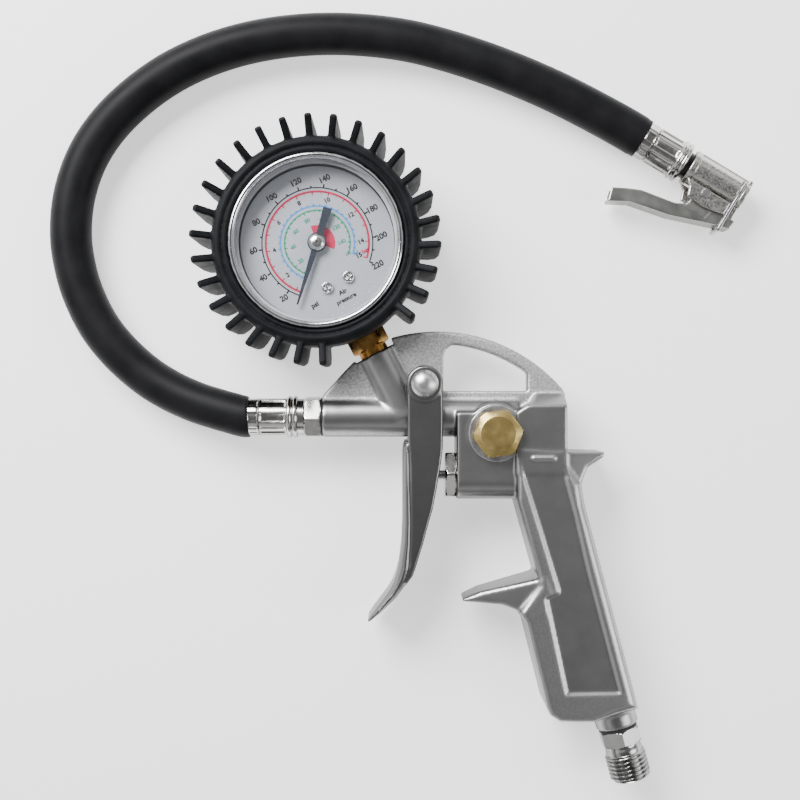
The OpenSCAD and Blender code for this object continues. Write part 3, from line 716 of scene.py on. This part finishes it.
def trigger():
    """The forked trigger: thin flanks behind a full round front."""
    f = Field((-19, -79, -10.9), (7.2, 6.6, 10.9), 0.42)
    x, y, z = f.x, f.y, f.z
    lobe = np.hypot(x, y) - LOBE_R
    flank_2d = np.minimum(polygon(x, y, FLANK), lobe)
    front_2d = polygon(x, y, FRONT)
    whole_2d = join(flank_2d, front_2d, 1.0)
    flanks = rounded(flank_2d, np.abs(z) - FLANK_HALF, 0.7)
    hub = rounded(lobe, np.abs(z) - HUB_HALF, 0.6)
    front = np.maximum(rounded(whole_2d, np.abs(z) - FRONT_HALF, 3.4), front_2d - 0.2)
    body = join(join(flanks, front, 0.25), hub, 0.6)
    hollow = rounded(polygon(x, y, HOLLOW), np.abs(z) - 8.3, 1.2)
    body = cut(body, hollow, 0.5)
    body = cut(body, np.hypot(x, y) - RIVET_R - 0.1, 0.2)
    # The trigger wears the darker copy of the alloy, a painted shade.
    piece = surface("trigger_casting", f, body, CAST_SHADED, placement(0, PIVOT_Y))
    return finish_piece(piece, "trigger", "cast_metal", "trigger")


def rivet():
    """Domed rivet with a staked far end."""
    def radius(s, angles):
        if s < -RIVET_HALF:
            return 4.3 - 0.6 * max(-10.6 - s, 0)
        if s <= RIVET_HALF:
            return RIVET_R
        return math.sqrt(max(5.36 ** 2 - (s - 7.0) ** 2, 0.0001))
    head = RIVET_HALF + 2.16 * np.sin(np.linspace(0, math.pi / 2, 12))
    shank = [-11.4, -11.0, -10.6, -RIVET_HALF - 0.01, -RIVET_HALF, RIVET_HALF, RIVET_HALF + 0.001]
    stations = np.concatenate([shank, head[1:]])
    piece = turned("rivet", stations, radius, WASHER, placement(0, PIVOT_Y))
    return finish_piece(piece, "root", "bright_nickel", "trigger_rivet")


def hex_piece(name, spans, flats, chamfer, material, matrix, twist=0.0, face=None, bore=None,
              smooth_angle=SMOOTH_ANGLE):
    """A turned piece made of spans (start, end, radius), where a radius of "hex" is a chamfered hexagon.

    face is the radius of the far chamfer where it meets the end face.
    """
    stations = []
    for start, end, kind in spans:
        if kind == "hex":
            stations += [start, start + chamfer * 0.35, start + chamfer * 0.7, start + chamfer,
                         end - chamfer, end - chamfer * 0.7, end - chamfer * 0.35, end - 1e-3]
        else:
            stations += [start + 1e-3, end - 1e-3]

    def radius(s, angles):
        for start, end, kind in spans:
            if start <= s <= end:
                if kind != "hex":
                    return kind
                near = (s - start) * HEX_CHAMFER_SLOPE + flats / 2 + 0.05
                far = (end - s) * HEX_CHAMFER_SLOPE + (face or flats / 2 + 0.05)
                return np.minimum(hexagon(flats, angles, twist), min(near, far))
    return turned(name, stations, radius, material, matrix, 120, bore, smooth_angle)


def valve_parts():
    nut = hex_piece("packing_hex", [(6.7, 10.1, "hex"), (10.1, 14, 4.5)], 14, 0.7, NICKEL, AT_VALVE @ ALONG_X,
                    twist=math.radians(-5), bore=1.56)
    finish_piece(nut, "root", "bright_nickel", "packing_nut")


def side_plug():
    """Brass hex plug with a turned face, on a bright washer."""
    spans = [(2.5, 10.3, 4.9), (10.3, 15.3, "hex")]
    plug = hex_piece("brass_plug", spans, PLUG_FLATS, 1.8, BRASS, placement(*PLUG), twist=math.radians(8),
                     face=5.4, smooth_angle=18)
    finish_piece(plug, "root", "brass", "side_plug")

    def washer_radius(s, angles):
        return 8.9 - (0.25 if s > 10.2 or s < 9.6 else 0)
    washer = turned("plug_washer", [9.5, 9.7, 10.1, 10.3], washer_radius, WASHER, placement(*PLUG),
                    bore=PLUG_BORE_R - 0.05)
    finish_piece(washer, "root", "washer_metal", "side_plug_washer")


THREAD_PITCH = 1.337
THREAD_R = 6.58
THREAD_DEPTH = 0.8


def thread(s, angles, start, end):
    """Radius of the inlet's helical thread, which runs out at both ends."""
    phase = (s / THREAD_PITCH - angles / (2 * math.pi)) % 1.0
    tooth = np.clip(1.15 - np.abs(phase - 0.5) * 2.6, 0, 1)
    fade = min((s - start) / THREAD_PITCH, (end - s) / (THREAD_PITCH * 0.7), 1.0)
    return THREAD_R - THREAD_DEPTH * (1 - tooth * max(fade, 0))


def inlet_nipple():
    """Hex nipple with a real helical thread."""
    def radius(s, angles):
        if s < 1:
            return 4.75
        if s < 6:
            edge = min(s - 1, 6 - s)
            return np.minimum(hexagon(12, angles), 6.1 + edge * HEX_CHAMFER_SLOPE)
        if s < 8.6:
            return 5.6 + 0.3 * min(max(s - 6.6, 0), 1)
        nose = 1 - 0.12 * max((s - 16) / 1.7, 0) ** 2
        return thread(s, angles, 8.2, 18.2) * nose
    stations = steps((-6, 0.99, 2), (1, 1.9, 5), (2.2, 4.8, 3), (5.1, 5.99, 5), (6.0, 6.6, 2), (6.8, 7.6, 5),
                     (8.0, 8.59, 3), (8.6, 17.7, 110))
    # The nipple wears the darker copy of the nickel, a painted shade.
    nipple = turned("inlet_nipple_threaded", stations, radius, SHADED_NICKEL, AT_INLET @ ALONG_X, 96, bore=3.3,
                    smooth_angle=28)
    finish_piece(nipple, "root", "bright_nickel", "inlet_nipple")


casting()
trigger()
rivet()
valve_parts()
side_plug()
inlet_nipple()


# ---- Gauge ----

FIN_PLACES = 30
FIN_STEP = 2 * math.pi / FIN_PLACES
LIP = [(20, -11.5), (30.5, -11.5), (31.7, -9.5), (32.5, 6), (32.5, 16.8), (32.2, 18.2), (31.5, 19.3),
       (30.7, 19.9), (30.1, 20.1), (29.5, 19.9), (29.1, 19.2), (28.7, 19.2), (28.3, 19.7), (27.8, 19.8),
       (27.3, 19.3), (27.05, 18.4), (27.05, 12.6), (25.6, 12.6), (25.6, -9.2), (20, -9.2)]
FIN = [(31, -11.2), (35.5, -11.2), (37.7, -8), (38.5, 0), (38.5, 21.4), (37.5, 22.8), (32.9, 20.2),
       (31, 19)]


def boot():
    """Finned rubber boot round the gauge."""
    f = Field((-39.4, -39.4, -12), (39.4, 39.4, 23.4), 0.48)
    x, y, z = f.x, f.y, f.z
    radius = np.hypot(x, y)
    angle = np.arctan2(y, x) + math.pi / 2
    places = np.round(angle / FIN_STEP) % FIN_PLACES
    lean = angle - places * FIN_STEP
    out, side = radius * np.cos(lean), radius * np.sin(lean)
    fin = rounded(polygon(out, z, FIN), np.abs(side) - 1.1, 0.55)
    fin = np.where((places < 2) | (places > FIN_PLACES - 2), 9.0, fin)
    body = join(polygon(radius, z, LIP), fin, 0.7)
    notch = np.maximum(np.maximum(np.abs(x) - 6.2, np.abs(z) - 6.7), np.abs(y + 29) - 7)
    piece = surface("rubber_boot", f, cut(body, notch, 0.3), BOOT, AT_GAUGE, keep=0.6)
    return finish_piece(piece, "root", "boot_rubber", "gauge_boot")


def gauge_head():
    rim = [(25.65, 12.7), (27, 12.7), (27, 19.2), (26.92, 19.8), (26.65, 20.2), (26.2, 20.4), (25.7, 20.35),
           (25.3, 20.1), (25.05, 19.7), (24.95, 19.2), (24.9, 17.8), (25.65, 17.8)]
    ring = lathe("bezel_ring", rim, POLISHED, AT_GAUGE, 200)
    finish_piece(ring, "root", "bezel_chrome", "gauge_bezel")

    dome = [(25.5 * math.cos(a), 17.25 + 0.45 * math.sin(a)) for a in np.linspace(0, math.pi / 2, 12)]
    pane = [(1e-4, 16.2), (25.2, 16.2), (25.5, 16.4), *dome[:-1], (1e-4, 17.7)]
    window = lathe("clear_window", pane, LENS, AT_GAUGE, 128)
    finish_piece(window, "root", "lens_clear", "gauge_lens")

    cap = [(2.0, 13.2), (2.0, 13.6), (2.65, 13.75), (2.62, 14.35), (2.45, 14.75), (2.1, 15.1), (1.5, 15.35),
           (0.62, 15.5), (0.5, 15.42), (0.42, 15.1), (0.42, 13.2)]
    hub = lathe("needle_cap", cap, POLISHED, AT_GAUGE, 96)
    finish_piece(hub, "needle", "bezel_chrome", "needle_hub")

    spans = [(14, 23.4, 5.9), (23.4, 29.5, 4.4), (29.5, 36.4, "hex"), (36.4, 47, 4.75)]
    socket = hex_piece("gauge_socket", spans, 11, 0.9, BRONZE, AT_GAUGE @ ALONG_MINUS_Y, bore=1.2)
    finish_piece(socket, "root", "bronze", "gauge_stem")


def screw(name, angle, replaced):
    """A cross-head screw of the dial."""
    place = Matrix.Translation((14.3 * math.cos(angle), 14.3 * math.sin(angle), 0))
    f = Field((-2.3, -2.3, 9.2), (2.3, 2.3, 13.5), 0.13)
    radius = np.hypot(f.x, f.y)
    head = rounded(radius - 1.9 + 0.25 * np.maximum(f.z - 12.5, 0), np.abs(f.z - 12.55) - 0.55, 0.3)
    body = join(head, rounded(radius - 1, np.abs(f.z - 10.9) - 1.4, 0.1), 0.1)
    slots = np.minimum(np.maximum(np.abs(f.x) - 0.22, np.abs(f.y) - 1.15),
                       np.maximum(np.abs(f.y) - 0.22, np.abs(f.x) - 1.15))
    body = cut(body, np.maximum(slots, 12.5 - f.z), 0.08)
    piece = surface(name, f, body, POLISHED, AT_GAUGE @ place @ Matrix.Rotation(angle, 4, "Z"))
    return finish_piece(piece, "root", "bezel_chrome", *replaced)


class Print:
    """Thin ink of one colour on the dial."""

    def __init__(self):
        self.work = bmesh.new()

    def face(self, points):
        self.work.faces.new([self.work.verts.new((x, y, PRINT_Z)) for x, y in points])

    def band(self, r0, r1, start, end, pieces=90):
        angles = np.radians(np.linspace(start, end, pieces + 1))
        for a, b in zip(angles, angles[1:]):
            self.face([(r * math.cos(t), r * math.sin(t)) for r, t in ((r0, a), (r1, a), (r1, b), (r0, b))])

    def tick(self, r0, r1, angle, width):
        a = math.radians(angle)
        u, v = Vector((math.cos(a), math.sin(a))), Vector((-math.sin(a), math.cos(a))) * width / 2
        self.face([tuple(u * r0 - v), tuple(u * r1 - v), tuple(u * r1 + v), tuple(u * r0 + v)])

    def text(self, words, size, x, y):
        curve = bpy.data.curves.new("words", "FONT")
        curve.body = words
        curve.size = size
        curve.align_x = curve.align_y = "CENTER"
        curve.resolution_u = 3
        curve.offset = size * 0.04
        holder = bpy.data.objects.new("words", curve)
        bpy.context.collection.objects.link(holder)
        mesh = bpy.data.meshes.new_from_object(holder.evaluated_get(bpy.context.evaluated_depsgraph_get()))
        mesh.transform(Matrix.Translation((x, y, PRINT_Z)))
        self.work.from_mesh(mesh)
        bpy.data.objects.remove(holder)
        bpy.data.curves.remove(curve)
        bpy.data.meshes.remove(mesh)

    def number(self, value, size, radius, angle):
        a = math.radians(angle)
        self.text(str(value), size, radius * math.cos(a), radius * math.sin(a))

    def finish(self, name, material):
        bmesh.ops.recalc_face_normals(self.work, faces=self.work.faces)
        turned_over = [face for face in self.work.faces if face.normal.z < 0]
        bmesh.ops.reverse_faces(self.work, faces=turned_over)
        solid = bmesh.ops.extrude_face_region(self.work, geom=self.work.faces[:])
        moved = [v for v in solid["geom"] if isinstance(v, bmesh.types.BMVert)]
        bmesh.ops.translate(self.work, vec=(0, 0, -PRINT_DEPTH), verts=moved)
        bmesh.ops.recalc_face_normals(self.work, faces=self.work.faces)
        mesh = bpy.data.meshes.new(name)
        self.work.to_mesh(mesh)
        self.work.free()
        mesh.transform(AT_GAUGE)
        mesh.materials.append(material)
        piece = bpy.data.objects.new(name, mesh)
        bpy.context.collection.objects.link(piece)
        return finish_piece(piece, "root", "dial_print")


ZERO_ANGLE = 237.3
DEGREES_PER_PSI = 1.294
PSI_PER_BAR = 14.5


def psi_angle(psi):
    """Direction of a pressure on the dial, in degrees, in the gauge's frame."""
    return ZERO_ANGLE - DEGREES_PER_PSI * psi


def bar_angle(bar):
    return psi_angle(PSI_PER_BAR * bar)


def dial_print():
    black, red, blue, green = Print(), Print(), Print(), Print()
    start, end, last_bar = 226, psi_angle(220), bar_angle(15)
    black.band(17.1, 17.5, start, end)
    for psi in range(10, 221, 10):
        numbered = psi % 20 == 0
        black.tick(17.3, 18.5 if numbered else 18.0, psi_angle(psi), 0.5)
        if numbered:
            black.number(psi, 2.5, 20.1, psi_angle(psi))
    red.band(15.85, 16.45, start, last_bar)
    for tenth in range(8, 151):
        inner = 15.0 if tenth % 10 == 0 else 15.3 if tenth % 5 == 0 else 15.7
        red.tick(inner, 16.1, bar_angle(tenth / 10), 0.4 if tenth % 10 == 0 else 0.2)
    for bar in (2, 4, 6, 8, 10, 12, 14, 15):
        black.number(bar, 2.0, 13.6, bar_angle(bar))
    blue.band(11.3, 11.85, start, last_bar)
    for half in range(2, 31):
        blue.tick(11.6, 12.4 if half % 2 == 0 else 12.1, bar_angle(half / 2), 0.4)
    green.band(10.0, 10.5, start, last_bar)
    for half in range(2, 31):
        green.tick(9.4 if half % 4 == 0 else 9.8, 10.3, bar_angle(half / 2), 0.4)
    for bar in (2, 4, 6, 8, 10, 12, 14):
        green.number(10 * bar, 1.75, 7.6, bar_angle(bar))
    red.band(2.4, 5.6, 84.5, -47.5, 40)
    red.text("bar", 1.9, 12.3, -9.0)
    blue.text("kgf", 1.1, 9.4, -8.2)
    green.text("kPa", 1.1, 7.0, -7.4)
    black.text("psi", 2.2, -9.6, -16.8)
    black.text("Air", 2.0, 0, -17.2)
    black.text("pressure", 1.9, 0, -19.6)
    black.finish("dial_ink_black", INK_BLACK)
    red.finish("dial_ink_red", INK_RED)
    blue.finish("dial_ink_blue", INK_BLUE)
    green.finish("dial_ink_green", INK_GREEN)


boot()
gauge_head()
screw("dial_screw_left", math.radians(-105), ["dial_screws"])
screw("dial_screw_right", math.radians(-75), [])
dial_print()

# ---- Hose ends ----


def ferrule(name, matrix, node):
    """Crimped ferrule from s = 0 at the hose: a banded start, long flutes and two round collars."""
    last = 17.7 if node == "ferrule_gun" else 15.8

    def radius(s, angles):
        for middle in (13.1, 14.9):
            if abs(s - middle) < 0.8:
                return 5.95 + 0.75 * math.sqrt(max(1 - ((s - middle) / 0.8) ** 2, 0))
        if s > 12.3:
            return 5.85
        flat = np.clip(np.cos(8 * angles) * 2.4 + 0.9, 0, 1)
        if s < 3.1:
            return 6.1 - 0.22 * flat * min(1.0, s / 0.4, (3.1 - s) / 0.3)
        if s < 3.7:
            return 5.72 + 0.3 * abs(s - 3.4) / 0.3
        return 6.1 - 0.5 * flat * min(1.0, (s - 3.7) / 0.6, max(12.1 - s, 0) / 0.6)
    stations = steps((0, 3.1, 10), (3.2, 3.7, 6), (3.9, 4.4, 4), (11.4, 12.29, 6), (12.31, 13.89, 15),
                     (14.11, 15.69, 15), (15.75, 17.7, 3))
    piece = turned(name, [s for s in stations if s <= last], radius, NICKEL, matrix, 144, bore=3.55)
    return finish_piece(piece, "root", "bright_nickel", node)


ferrule_at_gun = AT_GUN @ Matrix.Translation((-56.3, 0, 0)) @ ALONG_X
ferrule("crimped_ferrule_gun", ferrule_at_gun, "ferrule_gun")
ferrule_at_chuck = ferrule("crimped_ferrule_chuck", AT_CHUCK @ ALONG_X, "ferrule_chuck")
fitting_spans = [(-55, -38.4, 3.5), (-38.4, -33.1, "hex"), (-33.1, -23.6, 4.8)]
fitting = hex_piece("hose_barb_hex", fitting_spans, 12, 0.7, NICKEL, AT_GUN @ ALONG_X, twist=math.radians(8),
                    bore=2.0)
finish_piece(fitting, "root", "bright_nickel", "hose_fitting")

# ---- Chuck ----

LUG = [(18.4, -4.6), (20.4, -6.6), (21.4, -9.6), (27, -10.2), (34.6, -9), (34.6, -4.6)]
LEVER = [(-0.9, -19.5), (3.5, -17.2), (7.8, -15.3), (19.2, -13.3), (24, -11), (33.2, -8.4), (39.2, -8.6),
         (38.8, -11.6), (33.9, -12.9), (20, -17.7), (6.8, -20.5), (0.4, -24)]
LEVER_INSIDE = [(-2, -18.5), (3.5, -16.2), (7.8, -14), (19.2, -12), (24, -9), (33.2, -7), (41, -7),
                (41, -10.8), (33.9, -12.1), (20, -16.9), (6.8, -19.7), (-2, -23.9)]
EAR = [(22.4, -13), (24.4, -5.6), (26.1, -4.7), (27.8, -5.6), (30.6, -10), (30, -13)]


def span(value, low, high):
    """Signed distance to a slab between two values."""
    return np.abs(value - (low + high) / 2) - (high - low) / 2


def chuck_casting():
    f = Field((17, -10.7, -6.1), (38.5, 6.3, 6.1), 0.24)
    s, t, z = f.x, f.y, f.z
    radius = np.hypot(t, z)
    body = rounded(radius - 5.3, span(s, 19.6, CHUCK_END), 0.4)
    body = join(body, rounded(radius - 5.6, span(s, CHUCK_START, 19.6), 0.35), 0.3)
    frame_2d = rounded(span(s, CHUCK_START, CHUCK_END), np.abs(t) - 5.8, 0.5)
    body = join(body, rounded(frame_2d, np.abs(z) - 1.6, 0.4), 0.5)
    mouth_2d = rounded(span(s, 36.6, CHUCK_END), span(t, -8.4, 5.6), 0.3)
    body = join(body, rounded(mouth_2d, np.abs(z) - 3.4, 0.4), 0.4)
    body = join(body, rounded(polygon(s, t, LUG), span(np.abs(z), 3.9, 5.4), 0.35), 0.5)
    body = cut(body, np.maximum(radius - CHUCK_BORE_R, 28.3 - s), 0.25)
    body = cut(body, np.maximum(radius - 4.4, span(s, 26.2, 28.5)), 0.05)
    body = cut(body, np.maximum(radius - 2.6, span(s, 21, 27)), 0.05)
    body = cut(body, np.maximum(radius - 3.85, s - 23), 0.05)
    plate_slot = np.maximum(np.maximum(span(s, 34.95, 36.25), np.abs(z) - 5.6), span(t, -9, 4.4))
    lever_slot = np.maximum(np.maximum(span(s, 19, 36.4), np.abs(z) - 3.95), span(t, -11, -4.5))
    body = cut(cut(body, plate_slot, 0.1), lever_slot, 0.1)
    piece = surface("chuck_casting", f, body, CAST_NICKEL, AT_CHUCK)
    return finish_piece(piece, "root", "bright_nickel", "chuck_body")


def lever():
    f = Field((-2, -24.6, -4.4), (39.9, -3.9, 4.4), 0.24)
    s, t, z = f.x, f.y, f.z
    outside = rounded(polygon(s, t, LEVER), np.abs(z) - LEVER_HALF, 0.35)
    inside = rounded(polygon(s, t, LEVER_INSIDE), np.abs(z) - LEVER_INNER_HALF, 0.2)
    ears = rounded(polygon(s, t, EAR), span(np.abs(z), LEVER_INNER_HALF, LEVER_HALF), 0.2)
    body = join(cut(outside, inside, 0.15), ears, 0.3)
    body = cut(body, np.hypot(s - LEVER_PIN[0], t - LEVER_PIN[1]) - 0.95, 0.05)
    piece = surface("lever_sheet", f, body, SHEET, AT_CHUCK)
    return finish_piece(piece, "lever", "bright_nickel", "chuck_lever")


def jaw():
    f = Field((34.8, -14.8, -5.3), (36.4, 4.4, 5.3), 0.17)
    s, t, z = f.x, f.y, f.z
    outline = rounded(span(t, -14.4, 4), np.abs(z) - 4.9, 1.2)
    outline = cut(outline, np.hypot(t, z) - 4.3, 0.1)
    outline = cut(outline, rounded(span(t, -13.2, -7.4), np.abs(z) - 4.1, 0.6), 0.1)
    piece = surface("locking_plate", f, rounded(outline, span(s, 35.1, 36.1), 0.2), STEEL, AT_CHUCK, keep=0.6)
    return finish_piece(piece, "jaw", "steel", "jaw_plate")


def lever_pivot():
    pin = [(1e-4, -5.4), (0.8, -5.4), (0.9, -5.3), (0.9, 5.4), (1.5, 5.4), (1.5, 5.65), (1.3, 5.85),
           (0.8, 5.9), (1e-4, 5.9)]
    piece = lathe("lever_rivet", pin, STEEL, AT_CHUCK @ Matrix.Translation((*LEVER_PIN, 0)), 48)
    return finish_piece(piece, "root", "bright_nickel", "lever_pin")


chuck_pieces = [chuck_casting(), lever(), jaw(), lever_pivot(), ferrule_at_chuck]

# ---- Materials of the parts that stay as in CAD ----

SLOT_PAINT = {
    "cast_metal": CAST, "bright_nickel": NICKEL, "steel": STEEL, "brass": BRASS, "bronze": BRONZE,
    "seal_rubber": SEAL, "washer_metal": WASHER, "boot_rubber": BOOT, "bezel_chrome": POLISHED,
    "lens_clear": LENS, "dial_print": DIAL, "needle_paint": NEEDLE, "hose_rubber": HOSE,
    "case_paint": DIAL, "pale_seal": PALE,
}
for part in frame["record"]["subparts"]:
    node = frame["nodes"][part["node"]]
    node.data.materials.clear()
    node.data.materials.append(SLOT_PAINT[part["material_slot"]])
# The chuck's nipple is painted near-black: a painted shade.
frame["nodes"]["chuck_nipple"].data.materials[0] = SHADOW_BLACK

# ---- Light and floor ----


def soft_light(name, place, aim, size, power):
    data = bpy.data.lights.new(name, "AREA")
    data.shape = "RECTANGLE"
    data.size, data.size_y = size
    data.energy = power
    lamp = bpy.data.objects.new(name, data)
    lamp.location = place
    lamp.rotation_euler = (Vector(aim) - Vector(place)).to_track_quat("-Z", "Y").to_euler()
    bpy.context.collection.objects.link(lamp)


def surroundings():
    """A pale room with a dark ceiling and a dark band low down, which the metal mirrors."""
    world = bpy.data.worlds.new("surroundings")
    world.use_nodes = True
    tree = world.node_tree
    coords = tree.nodes.new("ShaderNodeTexCoord")
    split = tree.nodes.new("ShaderNodeSeparateXYZ")
    ramp = tree.nodes.new("ShaderNodeValToRGB")
    side = tree.nodes.new("ShaderNodeVectorMath")
    side.operation = "DOT_PRODUCT"
    side.inputs[1].default_value = (-0.25, 0.4, 0)
    gain = tree.nodes.new("ShaderNodeMath")
    gain.operation = "ADD"
    gain.inputs[1].default_value = 1.0
    stops = ramp.color_ramp
    stops.elements[0].position, stops.elements[0].color = 0.0, grey(0.6)
    stops.elements[1].position, stops.elements[1].color = 1.0, grey(0.13)
    for place, value in ((0.2, 0.7), (0.3, 0.1), (0.42, 0.1), (0.5, 0.95), (0.64, 0.85), (0.84, 0.16)):
        stops.elements.new(place).color = grey(value)
    tree.links.new(coords.outputs["Generated"], split.inputs["Vector"])
    tree.links.new(coords.outputs["Generated"], side.inputs[0])
    tree.links.new(side.outputs["Value"], gain.inputs[0])
    tree.links.new(split.outputs["Z"], ramp.inputs["Fac"])
    background = tree.nodes["Background"]
    tree.links.new(ramp.outputs["Color"], background.inputs["Color"])
    tree.links.new(gain.outputs["Value"], background.inputs["Strength"])
    bpy.context.scene.world = world


def ground():
    mesh = bpy.data.meshes.new("ground")
    corners = [(x, y, FLOOR_Z) for x, y in ((-2, -2), (2, -2), (2, 2), (-2, 2))]
    mesh.from_pydata(corners, [], [(0, 1, 2, 3)])
    mesh.materials.append(floor_paint())
    floor = bpy.data.objects.new("ground", mesh)
    bpy.context.collection.objects.link(floor)


surroundings()
ground()
soft_light("key", place=(-0.35, 0.45, 0.5), aim=(0, 0.03, 0), size=(0.5, 0.35), power=13)
soft_light("right", place=(0.6, -0.1, 0.45), aim=(0, 0.03, 0), size=(0.3, 0.5), power=2)
